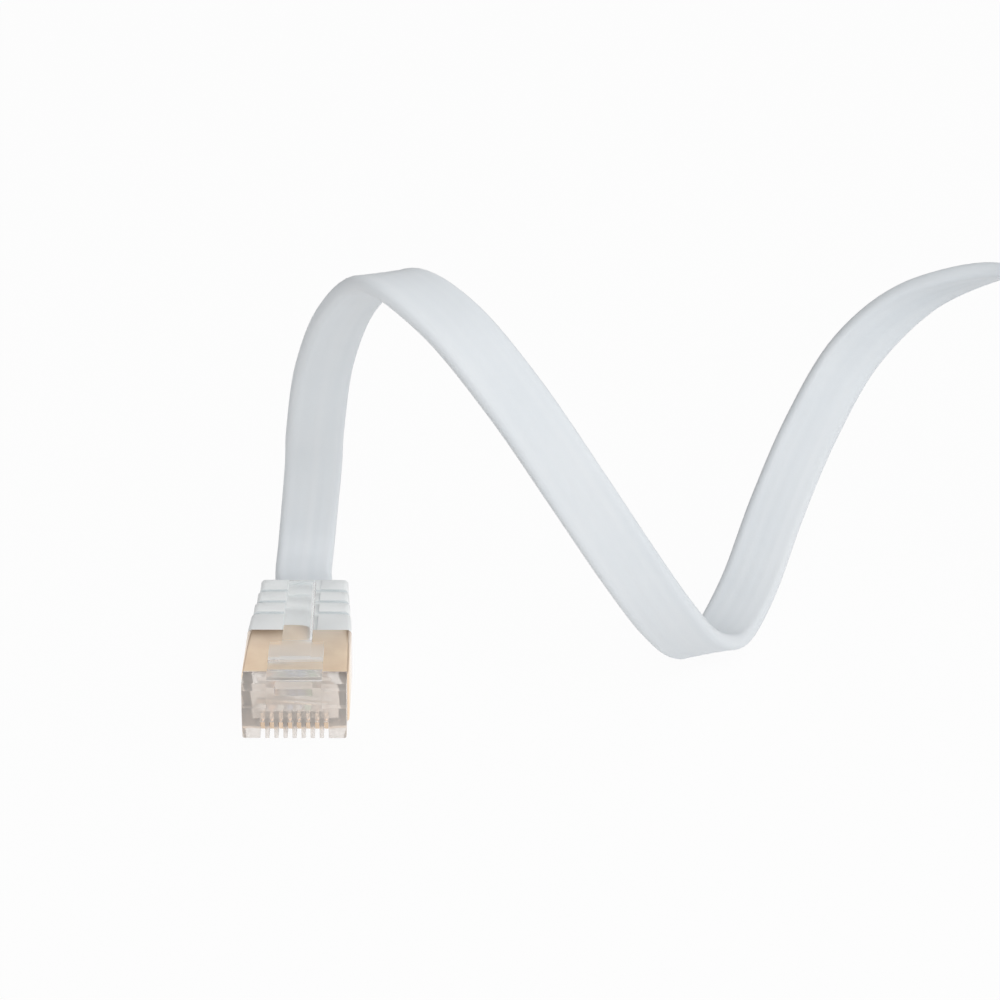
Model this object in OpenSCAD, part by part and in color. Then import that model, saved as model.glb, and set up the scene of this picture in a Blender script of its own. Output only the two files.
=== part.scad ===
// Flat ethernet patch cable: a clear eight-way plug with a plated shell and a ribbed boot
// on each end of a flat white jacket. The near plug lies on the floor with its latch up and
// its nose towards -Y. The jacket stands in two arches and ends in a tied coil.
// All sizes are in millimetres.

/* [Plug body] */
// Width across the plug, side to side
plug_w = 11.68; // [9.7:0.01:14.1]
// Height of the plug body, contact side to latch side
plug_h = 6.6; // [6.4:0.05:8]
// Length of clear nose in front of the shell
nose_l = 3.7; // [3.2:0.1:4.4]
// Length of shell that shows between nose and boot
shell_l = 9.8; // [8:0.1:11.6]
// Height of the ledge across the nose face
ledge_z = 3.95; // [3.6:0.05:4.4]
// Set-back of the nose face above the ledge
ledge_d = 0.3; // [0.1:0.05:0.5]
// Chamfer along the top front edge of the nose
nose_chamfer = 0.6; // [0.3:0.05:1]
// Radius of the fin tips
fin_tip_r = 0.3; // [0.2:0.05:0.6]
// Radius of the nose's two lower side edges
foot_r = 0.4; // [0.2:0.05:0.6]
// Radius of the long edges of shell and boot
edge_r = 0.6; // [0.4:0.05:0.9]

/* [Contacts] */
// Number of contacts, one for each wire
contact_count = 8; // [4, 6, 8]
// Spacing of the contacts
contact_pitch = 1.016; // [0.9:0.002:1.22]
// Width of the open slot that shows each contact
slot_w = 0.56; // [0.46:0.01:0.64]
// Height of the slots above the contact side
slot_h = 2.15; // [1.9:0.05:2.3]
// Thickness of a contact blade
blade_t = 0.35; // [0.28:0.01:0.42]
// Set-back of the blades from the nose face
blade_y = 0.6; // [0.4:0.05:0.8]
// Height of the blades' crown above the fin tips
blade_z = 0.75; // [0.5:0.05:0.9]
// Length of a blade along the plug
blade_l = 2.8; // [2.6:0.1:3.4]
// Diameter of an insulated wire
wire_d = 0.78; // [0.65:0.01:0.9]
// Spacing of the wires where the jacket holds them
wire_pitch = 0.8; // [0.78:0.01:0.82]

/* [Shell] */
// Amount by which each side of the shell stands proud of the clear nose
shell_proud = 0.2; // [0:0.05:0.3]
// Thickness of the plated sheet
shield_t = 0.25; // [0.15:0.01:0.35]
// Length of the narrow neck inside the boot
neck_l = 5.4; // [4.5:0.1:6.4]
// Length of the crimp collar behind the neck
crimp_l = 1.9; // [1.5:0.1:2.3]

/* [Latch] */
// Width of the latch as far as its shoulder
latch_w = 6.2; // [5.2:0.05:7.5]
// Width of the thumb tail at the shoulder
tail_w = 3.45; // [2.9:0.05:4.2]
// Width of the thumb tail at its end
tail_end_w = 3.1; // [2.6:0.05:3.4]
// Thickness of the thumb tail at its end
tail_t = 0.65; // [0.5:0.05:0.75]
// Thickness of the thumb tail where it leaves the shoulder
tail_root_t = 0.75; // [0.6:0.05:0.9]
// Height of the tail's end above the plug body
tail_rise = 2; // [1.95:0.05:2.4]
// Height of the tail's upper face above the shoulders
tail_lift = 0.15; // [0.05:0.05:0.2]
// Distance from the nose to the back of the shoulder
shoulder_y = 8.3; // [7:0.1:9.4]
// Height of the shoulder's upper edge above the plug body
shoulder_rise = 1.3; // [1.2:0.05:1.6]
// Thickness of the shoulder pad
pad_t = 0.75; // [0.6:0.05:0.85]
// Length of the shoulder pad along the plug
pad_l = 3.5; // [2.9:0.1:4.2]
// Height of the latch root's lower edge on the nose face
root_z = 3.2; // [3:0.05:4]
// Distance from the tail's end to the back of the boot
tail_short = 4.7; // [3.9:0.1:5.7]
// Angle through which the latch is pressed
press_angle = 3; // [2:0.1:3.2]

/* [Boot] */
// Length of the boot
boot_l = 13.5; // [10.8:0.1:15.6]
// Width of the boot at its back end
boot_back_w = 10.5; // [9.4:0.1:11.6]
// Number of grip ribs
rib_count = 3; // [1:1:3]
// Depth of the grooves between the grip ribs
groove_d = 0.25; // [0.1:0.05:0.4]
// Width of the grooves along the boot
groove_l = 0.8; // [0.4:0.05:1]
// Depth of the channel under the thumb tail
channel_d = 0.3; // [0.1:0.05:0.4]

/* [Cable] */
// Length of the cable, from nose to nose
cable_length = 1000; // [900:10:1100]
// Width of the flat jacket
cable_w = 6.9; // [5.8:0.1:7.4]
// Thickness of the flat jacket
cable_t = 1.9; // [1.6:0.05:2.1]
// Height of the jacket's middle above the contact side of the plug
cable_z = 3.5; // [3.4:0.05:3.6]
// Clearance round the jacket where it passes through a part
jacket_gap = 0.12; // [0.08:0.01:0.2]

/* [Coil] */
// Radius of the outermost turn, to the jacket's middle
coil_r = 39.5; // [38:0.5:45]
// Step inwards from one turn to the next
coil_step = 2.7; // [2.5:0.05:3]
// Distance of the coil's centre in front of the near boot's end
coil_y = 22.9; // [20.9:0.5:24.9]
// Width of the strap that ties the coil
tie_w = 8; // [5:0.5:8.5]
// Thickness of the strap
tie_t = 0.5; // [0.4:0.05:0.6]
// Gap between the strap and the turns
tie_gap = 0.3; // [0.2:0.05:0.4]

/* [Hidden] */
$fn = 32;
// Gap between parts that press together
fit = 0.03;
// Overlong cut through a face
cut = 1;

// Places along the plug, measured back from the nose face
plug_l = nose_l + shell_l + boot_l;
nose_y = -plug_l / 2;
boot_end_y = plug_l / 2;
shell_end = nose_l + shell_l;
neck_end = shell_end + neck_l;
crimp_end = neck_end + crimp_l;
blade_end = blade_y + blade_l;
slot_wall = 0.3;
slot_end = blade_end + slot_wall;
bar_start = slot_end + slot_wall;
bar_l = 4.2;
bar_end = bar_start + bar_l;
jacket_start = shell_end + 1.8;

// Contacts and wires: the wires never close up past touching
contact_span = contact_pitch * (contact_count - 1);
jacket_pitch = max(wire_pitch, wire_d + 0.01);
crown_front_r = 0.7;
crown_back_r = 0.3;
prong_depth = 0.24;
prong_w = 0.6;
wire_low = cable_z - wire_d / 2;
bar_side = 0.5;
bar_wall = 1;
bar_h = 4.6;

// Widths and heights of the nested sections; the throat takes the wires or the jacket
shell_w = plug_w + 2 * shell_proud;
core_w = shell_w - 2 * (shield_t + fit);
core_h = plug_h - 2 * (shield_t + fit);
bar_w = max(contact_span + wire_d + 2 * bar_side, core_w - 2 * bar_wall);
bore_w = cable_w + 2 * jacket_gap;
bore_h = cable_t + 2 * jacket_gap;
throat_w = max(bore_w, jacket_pitch * (contact_count - 1) + wire_d + 2 * jacket_gap);
rear_side = 0.85;
rear_w = throat_w + 2 * rear_side;
rear_skin = 0.3;
rear_h = bore_h + 2 * rear_skin;
neck_w = rear_w + 2 * (fit + shield_t);
neck_h = rear_h + 2 * (fit + shield_t);
crimp_w = bore_w + 2 * shield_t;
crimp_h = bore_h + 2 * shield_t;

// Latch: its round hinge edge lies in a seat across the top of the nose
knuckle_r = 0.4;
knuckle_gap = 0.05;
knuckle_y = 1.9;
knuckle_z = plug_h + 0.18;
web_t = 0.42;
press_gap = 0.08;
tail_end = plug_l - tail_short;
pocket_w = 4.2;
pocket_h = 1;
pocket_d = 1.4;

// Shell and boot
seam_w = 0.15;
rib_l = 2.1;
end_rib_l = 3;
boot_taper_h = 0.2;
channel_gap = 0.3;

// The jacket's route: place along X, distance behind the near boot, height, turn of its
// width about Z and tip of its width out of the level, in millimetres and degrees
ROUTE = [
    [0, jacket_start - plug_l, cable_z, 0, 0], [0, -2.4, cable_z, 0, 0],
    [0, 1.1, cable_z, 0, 0], [-0.45, 4.6, 4.5, 0, 0], [-0.2, 7.1, 7, 0, 0],
    [0.2, 7.6, 11, 2, 0], [1, 5.1, 19, 6, 0], [1.5, 1.6, 25.5, 13, 0], [3, -3.9, 36, 20, 0],
    [6.05, -10.9, 45.7, 23, 0], [10.5, -16.9, 51, 20, 0], [17, -21.4, 48.5, 15, 0],
    [24, -24.9, 41, 13, 0], [31, -26.9, 31, 14, 0], [37, -25.4, 21, 16, 0],
    [42, -20.9, 12, 15, 0], [46, -13.9, 5, 12, 4], [49.5, -7.4, 2.3, 9, 8],
    [53.5, -0.4, 5.5, 4, 6], [57.5, 7.1, 12.6, 2, 0], [62.05, 13.6, 20.5, 8, 0],
    [67.65, 18.6, 28.5, 15, 0], [75.15, 20.6, 34.9, 19, 0], [84.5, 19.6, 38.9, 19, -2],
    [91, 15.6, 39.5, 16, 0], [94, 11.6, 36, 11, 0], [95, 8.6, 30, 6, 0], [95, 7.1, 22, 0, 0],
    [95, 6.1, 13, 0, 0], [95, 2.1, 5.5, 0, 0], [95, -4.9, 1.8, 0, 0], [95, -11.4, 2.6, 0, 25],
    [95, -17.4, 3.6, 0, 55], [95, -22.9, 4.2, 0, 80]
];
rings_per_step = 2;

// Coil: the turns stand on edge and step inwards, anticlockwise from above
coil_x = 95 + coil_r;
coil_z = cable_w / 2 + tie_t + tie_gap;
coil_from = 192;
loop_rings = 24;
ring_angle = 360 / loop_rings;
tie_ring = 15;

// The last stretch curls in a half circle to the far plug, which lies on its side
tail_r = 16;
tail_rings = 7;
tail_turn = 180;
far_gap = 2;
jacket_inside = plug_l - jacket_start;

// ---- Outlines and small helpers ----

function unit(v) = v / norm(v);
function sum(list) = list * [for (v = list) 1];

function contact_x(k) = (k - (contact_count + 1) / 2) * contact_pitch;

// Points of an arc, from angle a0 to a1 in n steps
function arc(c, r, a0, a1, n) = [for (i = [0:n]) let(a = a0 + (a1 - a0) * i / n)
    c + r * [cos(a), sin(a)]];

// A bar along the plug with rounded long edges, its middle at height z
module bar_y(w, h, y0, y1, z, r) {
    translate([0, y1, z]) rotate([90, 0, 0]) linear_extrude(y1 - y0) {
        square([w - 2 * r, h], center = true);
        square([w, h - 2 * r], center = true);
        for (sx = [-1, 1], sz = [-1, 1])
            translate([sx * (w / 2 - r), sz * (h / 2 - r)]) circle(r);
    }
}

// A square-edged block along the plug, its middle at height z
module block_y(w, h, y0, y1, z) {
    translate([-w / 2, y0, z - h / 2]) cube([w, y1 - y0, h]);
}

// A side outline in (distance behind the nose, height), drawn out to a width about x
module side_outline(w, points, x = 0) {
    translate([x - w / 2, 0, 0]) rotate([90, 0, 90]) linear_extrude(w) polygon(points);
}

// ---- Plug ----

module plug_housing() {
    nose = concat(
        arc([fin_tip_r, fin_tip_r], fin_tip_r, 270, 180, 4),
        [[0, ledge_z], [ledge_d, ledge_z + ledge_d], [ledge_d, plug_h - nose_chamfer],
         [ledge_d + nose_chamfer, plug_h], [nose_l, plug_h], [nose_l, 0]]
    );
    core_end = shell_end - shield_t - fit;
    rear_end = neck_end - shield_t - fit;
    color("lightgray", 0.6) difference() {
        union() {
            intersection() {
                side_outline(plug_w, nose);
                bar_y(plug_w, plug_h + cut, -cut, nose_l + cut, (plug_h + cut) / 2, foot_r);
            }
            block_y(core_w, core_h, nose_l - cut, core_end, plug_h / 2);
            block_y(rear_w, rear_h, core_end - cut, rear_end, cable_z);
            block_y(latch_w, plug_h - root_z, 0, ledge_d + nose_chamfer, (plug_h + root_z) / 2);
        }
        for (k = [1:contact_count]) contact_slot(contact_x(k));
        wire_chambers(rear_end);
        // Hollow in the latch root
        block_y(pocket_w, 2 * pocket_h, -cut, pocket_d, plug_h);
        // Seat of the latch's hinge edge
        translate([-latch_w / 2 - cut, knuckle_y, knuckle_z]) rotate([0, 90, 0])
            cylinder(r = knuckle_r + knuckle_gap, h = latch_w + 2 * cut);
    }
}

// Open slot for a contact's crown, and the narrow way up to its wire
module contact_slot(x) {
    way_w = blade_t + fit;
    way_y = blade_y + crown_front_r;
    translate([x - slot_w / 2, -cut, -cut]) cube([slot_w, slot_end + cut, slot_h + cut]);
    translate([x - way_w / 2, way_y, slot_h - fit])
        cube([way_w, blade_end + fit - way_y, wire_low - slot_h + 2 * fit]);
}

// Row of wire ways, seat of the load bar, room behind it and the jacket's bore
module wire_chambers(rear_end) {
    block_y(contact_span + wire_d + 2 * jacket_gap, wire_d + 2 * fit,
        blade_y + crown_front_r, bar_start + cut, cable_z);
    block_y(bar_w + 2 * fit, bar_h + 2 * fit, bar_start - fit, bar_end + fit, cable_z);
    block_y(bar_w, bore_h, bar_end, jacket_start - 2 * cut, cable_z);
    block_y(throat_w, bore_h, jacket_start - 3 * cut, jacket_start, cable_z);
    block_y(bore_w, bore_h, jacket_start - cut, rear_end + cut, cable_z);
}

// Comb with one bore for each wire
module load_bar() {
    color("whitesmoke") difference() {
        block_y(bar_w, bar_h, bar_start, bar_end, cable_z);
        for (k = [1:contact_count])
            translate([contact_x(k), bar_end + cut, cable_z]) rotate([90, 0, 0])
                cylinder(d = wire_d + 2 * fit, h = bar_l + 2 * cut);
    }
}

// Blade with a rounded crown below and two prongs that pierce its wire
module contact(k) {
    body_z = wire_low - prong_w / 2;
    tip_z = wire_low + prong_depth;
    shelf_z = slot_h - fit;
    neck_y = blade_y + crown_front_r + fit;
    function prong(y) = [[y + prong_w / 2, body_z], [y + prong_w / 4, wire_low], [y, tip_z],
        [y - prong_w / 4, wire_low], [y - prong_w / 2, body_z]];
    outline = concat(
        arc([blade_y + crown_front_r, blade_z + crown_front_r], crown_front_r, 180, 270, 6),
        arc([blade_end - crown_back_r, blade_z + crown_back_r], crown_back_r, 270, 360, 3),
        [[blade_end, body_z]],
        prong(blade_end - prong_w), prong(neck_y + prong_w),
        [[neck_y, body_z], [neck_y, shelf_z], [blade_y, shelf_z]]
    );
    color("gold") side_outline(blade_t, outline, contact_x(k));
}

// Insulated wire, which closes up from the contacts' spacing to the jacket's
module wire(k) {
    tints = ["wheat", "orange", "honeydew", "royalblue", "aliceblue", "green", "linen",
        "saddlebrown"];
    bend_from = bar_end + 0.2;
    bend_to = jacket_start - 1.6;
    bend_steps = 5;
    jacket_x = (k - (contact_count + 1) / 2) * jacket_pitch;
    places = concat([blade_y + crown_front_r + fit],
        [for (i = [0:bend_steps]) bend_from + (bend_to - bend_from) * i / bend_steps],
        [jacket_start - fit]);
    path = [for (y = places) let(s = max(0, min(1, (y - bend_from) / (bend_to - bend_from))))
        [contact_x(k) + (jacket_x - contact_x(k)) * (1 - cos(180 * s)) / 2, y, cable_z]];
    section = [for (i = [0:7]) wire_d / 2 * [cos(45 * i), sin(45 * i)]];
    color(tints[(k - 1) % len(tints)])
        tube([for (p = path) [for (s = section) p + [s[0], 0, s[1]]]]);
}

// Folded sheet shell with a neck and a crimp collar inside the boot
module shield() {
    inner_end = shell_end - shield_t;
    color([0.85, 0.72, 0.55]) difference() {
        union() {
            bar_y(shell_w, plug_h, nose_l + fit, shell_end, plug_h / 2, edge_r);
            block_y(neck_w, neck_h, inner_end, neck_end, cable_z);
            block_y(crimp_w, crimp_h, neck_end - shield_t, crimp_end, cable_z);
        }
        // Seam where the folded sheet meets under the plug
        block_y(seam_w, 2 * (shield_t + fit), nose_l, inner_end - cut, 0);
        block_y(core_w + 2 * fit, core_h + 2 * fit, nose_l - cut, inner_end, plug_h / 2);
        block_y(rear_w + 2 * fit, rear_h + 2 * fit, nose_l, neck_end - shield_t, cable_z);
        block_y(bore_w, bore_h, nose_l, crimp_end + cut, cable_z);
    }
}

// Sprung arm: a round hinge edge, a thin web, the thick shoulder pad and the thumb tail,
// which narrows towards its end. The pressed latch just clears the shell.
module latch() {
    pad_start = shoulder_y - pad_l;
    top_z = plug_h + shoulder_rise;
    pad_low = top_z - pad_t;
    web = concat(
        arc([knuckle_y, knuckle_z], knuckle_r, 270, 90, 10),
        [[knuckle_y + 3 * knuckle_r, knuckle_z + knuckle_r + 0.06],
         [pad_start, top_z - web_t], [pad_start + 0.1, top_z - 0.14],
         [shoulder_y, top_z], [shoulder_y, pad_low], [pad_start, pad_low - 0.12],
         [knuckle_y + knuckle_r, plug_h + 0.1]]
    );
    under_z = max(top_z + tail_lift - tail_root_t,
        plug_h + (shoulder_y - knuckle_y) * tan(press_angle) + press_gap);
    start_y = pad_start + 0.1;
    start_top = top_z + tail_lift
        - (plug_h + tail_rise - top_z - tail_lift) * pad_l / (tail_end - shoulder_y);
    tip_r = tail_t / 2;
    tail = concat(
        [[start_y, start_top]],
        arc([tail_end - tip_r, plug_h + tail_rise - tip_r], tip_r, 90, -90, 6),
        [[shoulder_y, under_z], [start_y, pad_low]]
    );
    tail_plan = [[-tail_w / 2, shoulder_y], [-tail_end_w / 2, tail_end],
        [tail_end_w / 2, tail_end], [tail_w / 2, shoulder_y], [tail_w / 2, start_y],
        [-tail_w / 2, start_y]];
    color("lightgray", 0.7) {
        side_outline(latch_w, web);
        intersection() {
            side_outline(tail_w, tail);
            translate([0, 0, plug_h]) linear_extrude(tail_rise + cut) polygon(tail_plan);
        }
    }
}

// Ribbed strain relief, with a channel on top for the thumb tail
module boot() {
    front = shell_end + fit;
    edge = 0.1;
    back_r = 0.6;
    back_inset = 0.3;
    function rib_w(i) = boot_back_w + (shell_w - boot_back_w) * i / (rib_count + 1);
    function rib_top(i) = plug_h - boot_taper_h * (1 - i / (rib_count + 1));
    function rib_low(i) = boot_taper_h * (1 - i / (rib_count + 1));
    function rib_back(i) = i == 0 ? plug_l
        : plug_l - end_rib_l - groove_l - (i - 1) * (rib_l + groove_l);
    function rib_front(i) = rib_back(i) - (i == 0 ? end_rib_l : rib_l);
    module band(i, y0, y1, inset = 0) {
        bar_y(rib_w(i) - 2 * inset, rib_top(i) - rib_low(i) - 2 * inset, y0, y1,
            (rib_top(i) + rib_low(i)) / 2, edge_r);
    }
    color("white") difference() {
        union() {
            hull() {
                band(rib_count + 1, front, front + edge);
                band(rib_count, rib_back(rib_count) - edge, rib_back(rib_count));
            }
            for (i = [1:rib_count - 1]) band(i, rib_front(i), rib_back(i));
            for (i = [0:rib_count - 1])
                band(i, rib_back(i + 1) - edge, rib_front(i) + edge, groove_d);
            hull() {
                band(0, rib_front(0), plug_l - back_r);
                band(0, rib_front(0), plug_l, back_inset);
            }
        }
        block_y(neck_w + 2 * fit, neck_h + 2 * fit, front - cut, neck_end + fit, cable_z);
        block_y(crimp_w + 2 * fit, crimp_h + 2 * fit, front, crimp_end + fit, cable_z);
        block_y(bore_w, bore_h, front, plug_l + cut, cable_z);
        block_y(tail_w + 2 * channel_gap, 2 * channel_d, front - cut, plug_l + cut, plug_h);
    }
}

// ---- Cable ----

// Outline of the flat jacket in (width, thickness), with round edges
jacket = [for (side = [0, 180]) each arc([(side == 0 ? 1 : -1) * (cable_w - cable_t) / 2, 0],
    cable_t / 2, side - 90, side + 90, 5)];

// The same with six corners, for the wound turns
jacket_hex = let(w = cable_w / 2, h = cable_t / 2)
    [[w, 0], [w - h, h], [h - w, h], [-w, 0], [h - w, -h], [w - h, -h]];

// Smooth curve through the points, in even steps between each pair
function smooth_step(a, b, c, d, t) =
    (2 * b + (c - a) * t + (2 * a - 5 * b + 4 * c - d) * t * t
    + (3 * b - a - 3 * c + d) * t * t * t) / 2;
function smooth(points, steps) = let(n = len(points)) [
    for (i = [0:n - 2], k = [0:steps - 1])
        smooth_step(i == 0 ? 2 * points[0] - points[1] : points[i - 1], points[i],
            points[i + 1], i == n - 2 ? 2 * points[n - 1] - points[n - 2] : points[i + 2],
            k / steps),
    points[n - 1]
];
function path_length(path) = sum([for (i = [1:len(path) - 1]) norm(path[i] - path[i - 1])]);

// Direction of the jacket's width from its turn and tip
function width_line(turn, tip) = [cos(turn) * cos(tip), sin(turn) * cos(tip), sin(tip)];

// One ring of an outline, square to the direction of travel
function ring(place, travel, width, outline) =
    let(t = unit(travel), w = unit(width - (width * t) * t), n = cross(t, w))
    [for (s = outline) place + w * s[0] + n * s[1]];

// Travel at each place of a path, given its first and last directions
function travel(path, i, first, last) = let(n = len(path))
    i == 0 ? first : i == n - 1 ? last : path[i + 1] - path[i - 1];

// Closed tube through a list of rings
module tube(rings) {
    n = len(rings);
    m = len(rings[0]);
    points = [for (r = rings) each r];
    sides = [for (i = [0:n - 2], j = [0:m - 1])
        let(a = i * m + j, b = i * m + (j + 1) % m) each [[a, a + m, b], [b, a + m, b + m]]];
    caps = [for (j = [1:m - 2]) each [[0, j, j + 1],
        [(n - 1) * m, (n - 1) * m + j + 1, (n - 1) * m + j]]];
    polyhedron(points, concat(sides, caps));
}

// Radius of the winding and centre of the jacket at an angle round the coil
function coil_radius(a) = coil_r - coil_step * (a - 180) / 360;
function coil_place(a) = [coil_x, boot_end_y - coil_y, coil_z]
    + coil_radius(a) * [cos(a), sin(a), 0];

// Free stretch from inside the near boot to the coil, each place with its turn and tip
run_path = smooth(concat(
    [for (p = ROUTE) p + [0, boot_end_y, 0, 0, 0]],
    [concat(coil_place(coil_from), [0, 90])]
), rings_per_step);
run_places = [for (p = run_path) [p[0], p[1], p[2]]];

// The coil takes up the length that the run, the tail and the plugs leave
run_length = jacket_start + path_length(run_places);
tail_length = tail_r * PI * tail_turn / 180 + far_gap + plug_l;
function coil_length(n) = n * (ring_angle * PI / 180) * coil_radius(coil_from + n * ring_angle / 2);
coil_count = max([for (n = [loop_rings:5 * loop_rings])
    if (coil_length(n - 0.5) < cable_length - run_length - tail_length) n]);
coil_path = [for (i = [0:coil_count]) coil_place(coil_from + i * ring_angle)];
coil_first = coil_path[1] - coil_path[0];
coil_last = coil_path[coil_count] - coil_path[coil_count - 1];
coil_rings = [for (i = [0:coil_count])
    ring(coil_path[i], travel(coil_path, i, coil_first, coil_last), [0, 0, 1], jacket_hex)];

// Least distance between one turn's corners and the next turn's
coil_gap = min([for (i = [0:coil_count - loop_rings], j = [loop_rings - 1:loop_rings + 1])
    if (i + j <= coil_count) for (p = coil_rings[i], q = coil_rings[i + j]) norm(p - q)]);
echo(coil_gap = coil_gap, coil_turns = coil_count / loop_rings,
    length = run_length + path_length(coil_path) + tail_length);

module cable_run() {
    color("white") tube([for (i = [0:len(run_path) - 1])
        ring(run_places[i], travel(run_places, i, [0, 1, 0], coil_first),
            width_line(run_path[i][3], run_path[i][4]), jacket)]);
}

module cable_coil() {
    color("white") tube(coil_rings);
}

// Half circle inwards from the end of the coil, then straight into the far plug
tail_heading = atan2(coil_last[1], coil_last[0]);
tail_centre = coil_path[coil_count] + tail_r * [-sin(tail_heading), cos(tail_heading), 0];
function tail_point(a) = tail_centre + tail_r * [sin(tail_heading + a), -cos(tail_heading + a), 0]
    + [0, 0, (shell_w / 2 - coil_z) * (1 - cos(a * 180 / tail_turn)) / 2];
far_heading = tail_heading + tail_turn;
far_way = [cos(far_heading), sin(far_heading), 0];
far_back = tail_point(tail_turn) + far_gap * far_way;

module cable_tail() {
    places = concat(
        [for (i = [0:tail_rings]) tail_point(tail_turn * i / tail_rings)],
        [for (s = [0, 0.5, 1]) far_back + s * jacket_inside * far_way]
    );
    color("white") tube([for (i = [0:len(places) - 1])
        ring(places[i], travel(places, i, coil_last, far_way), [0, 0, 1], jacket)]);
}

// Strap round a straight stretch of the turns, with its end lapped over on the outside
module coil_tie() {
    turns = floor((coil_count - tie_ring - 1) / loop_rings);
    outer = (coil_path[tie_ring] + coil_path[tie_ring + 1]) / 2;
    inner_ring = tie_ring + turns * loop_rings;
    inner = (coil_path[inner_ring] + coil_path[inner_ring + 1]) / 2;
    across = outer - inner;
    in_w = norm(across) + cable_t + 2 * tie_gap;
    in_h = cable_w + 2 * tie_gap;
    lap_l = in_h * 0.7;
    color("gainsboro")
    translate((outer + inner) / 2) rotate([0, 0, atan2(across[1], across[0])]) {
        difference() {
            bar_y(in_w + 2 * tie_t, in_h + 2 * tie_t, -tie_w / 2, tie_w / 2, 0, tie_t + 0.4);
            bar_y(in_w, in_h, -tie_w, tie_w, 0, 0.4);
        }
        translate([in_w / 2 + tie_t - fit, -tie_w / 2, in_h / 2 - tie_t - lap_l])
            cube([tie_t, tie_w, lap_l]);
    }
}

// ---- Whole plugs in place ----

module near_plug() {
    translate([0, nose_y, 0]) children();
}

// The far plug lies on its side, its nose pointing along far_way
module far_plug() {
    translate(far_back) rotate([0, 0, far_heading + 90]) rotate([0, -90, 0])
        translate([0, -plug_l, -cable_z]) children();
}

near_plug() plug_housing();
near_plug() latch();
near_plug() shield();
near_plug() load_bar();
near_plug() boot();
for (k = [1:contact_count]) {
    near_plug() contact(k);
    near_plug() wire(k);
    far_plug() contact(k);
    far_plug() wire(k);
}
cable_run();
cable_coil();
cable_tail();
coil_tie();
far_plug() plug_housing();  // far_plug_housing
far_plug() latch();  // far_latch
far_plug() shield();  // far_shield
far_plug() load_bar();  // far_load_bar
far_plug() boot();  // far_boot
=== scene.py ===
import math

import bmesh
import bpy
from mathutils import Matrix, Vector


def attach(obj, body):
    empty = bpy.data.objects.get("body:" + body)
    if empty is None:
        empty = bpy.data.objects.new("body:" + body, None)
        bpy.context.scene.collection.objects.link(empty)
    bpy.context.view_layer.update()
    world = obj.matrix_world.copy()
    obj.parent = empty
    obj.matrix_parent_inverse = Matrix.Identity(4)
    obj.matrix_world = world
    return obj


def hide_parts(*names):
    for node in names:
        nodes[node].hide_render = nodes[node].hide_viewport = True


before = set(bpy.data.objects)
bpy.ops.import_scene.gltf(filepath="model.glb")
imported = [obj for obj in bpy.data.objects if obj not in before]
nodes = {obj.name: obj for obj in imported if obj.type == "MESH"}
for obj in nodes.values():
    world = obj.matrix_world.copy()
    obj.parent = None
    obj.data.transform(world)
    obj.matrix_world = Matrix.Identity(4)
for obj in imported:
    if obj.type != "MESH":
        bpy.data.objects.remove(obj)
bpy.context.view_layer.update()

# Flat ethernet patch cable: clear plugs with plated shells and white boots on a flat white
# jacket, which stands in two arches and ends in a tied coil. All lengths are in metres.


# ---- Camera ----

FOCAL_LENGTH = 93.6
SENSOR_WIDTH = 36
CAMERA_PLACE = (0.016206, -0.265313, 0.150728)
CAMERA_YAW = 1.468
CAMERA_PITCH = 25.636
CAMERA_ROLL = 0.855


def place_camera():
    """Look down on the nose of the near plug, a little from its right."""
    bpy.ops.object.camera_add()
    camera = bpy.context.object
    camera.name = "camera"
    camera.data.lens = FOCAL_LENGTH
    camera.data.sensor_width = SENSOR_WIDTH
    camera.data.clip_start = 0.01
    yaw, pitch, roll = (math.radians(a) for a in (CAMERA_YAW, CAMERA_PITCH, CAMERA_ROLL))
    camera.matrix_world = (
        Matrix.Translation(CAMERA_PLACE)
        @ Matrix.Rotation(-yaw, 4, "Z")
        @ Matrix.Rotation(math.radians(90) - pitch, 4, "X")
        @ Matrix.Rotation(roll, 4, "Z")
    )
    bpy.context.scene.camera = camera


# ---- The jacket's route ----

JACKET_WIDTH = 0.0069
JACKET_THICK = 0.0019
JACKET_INSIDE = 0.0117  # how far each end goes into its boot
NOSE_Y = -0.0135
BOOT_END_Y = 0.0135
PLUG_LENGTH = BOOT_END_Y - NOSE_Y

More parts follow.
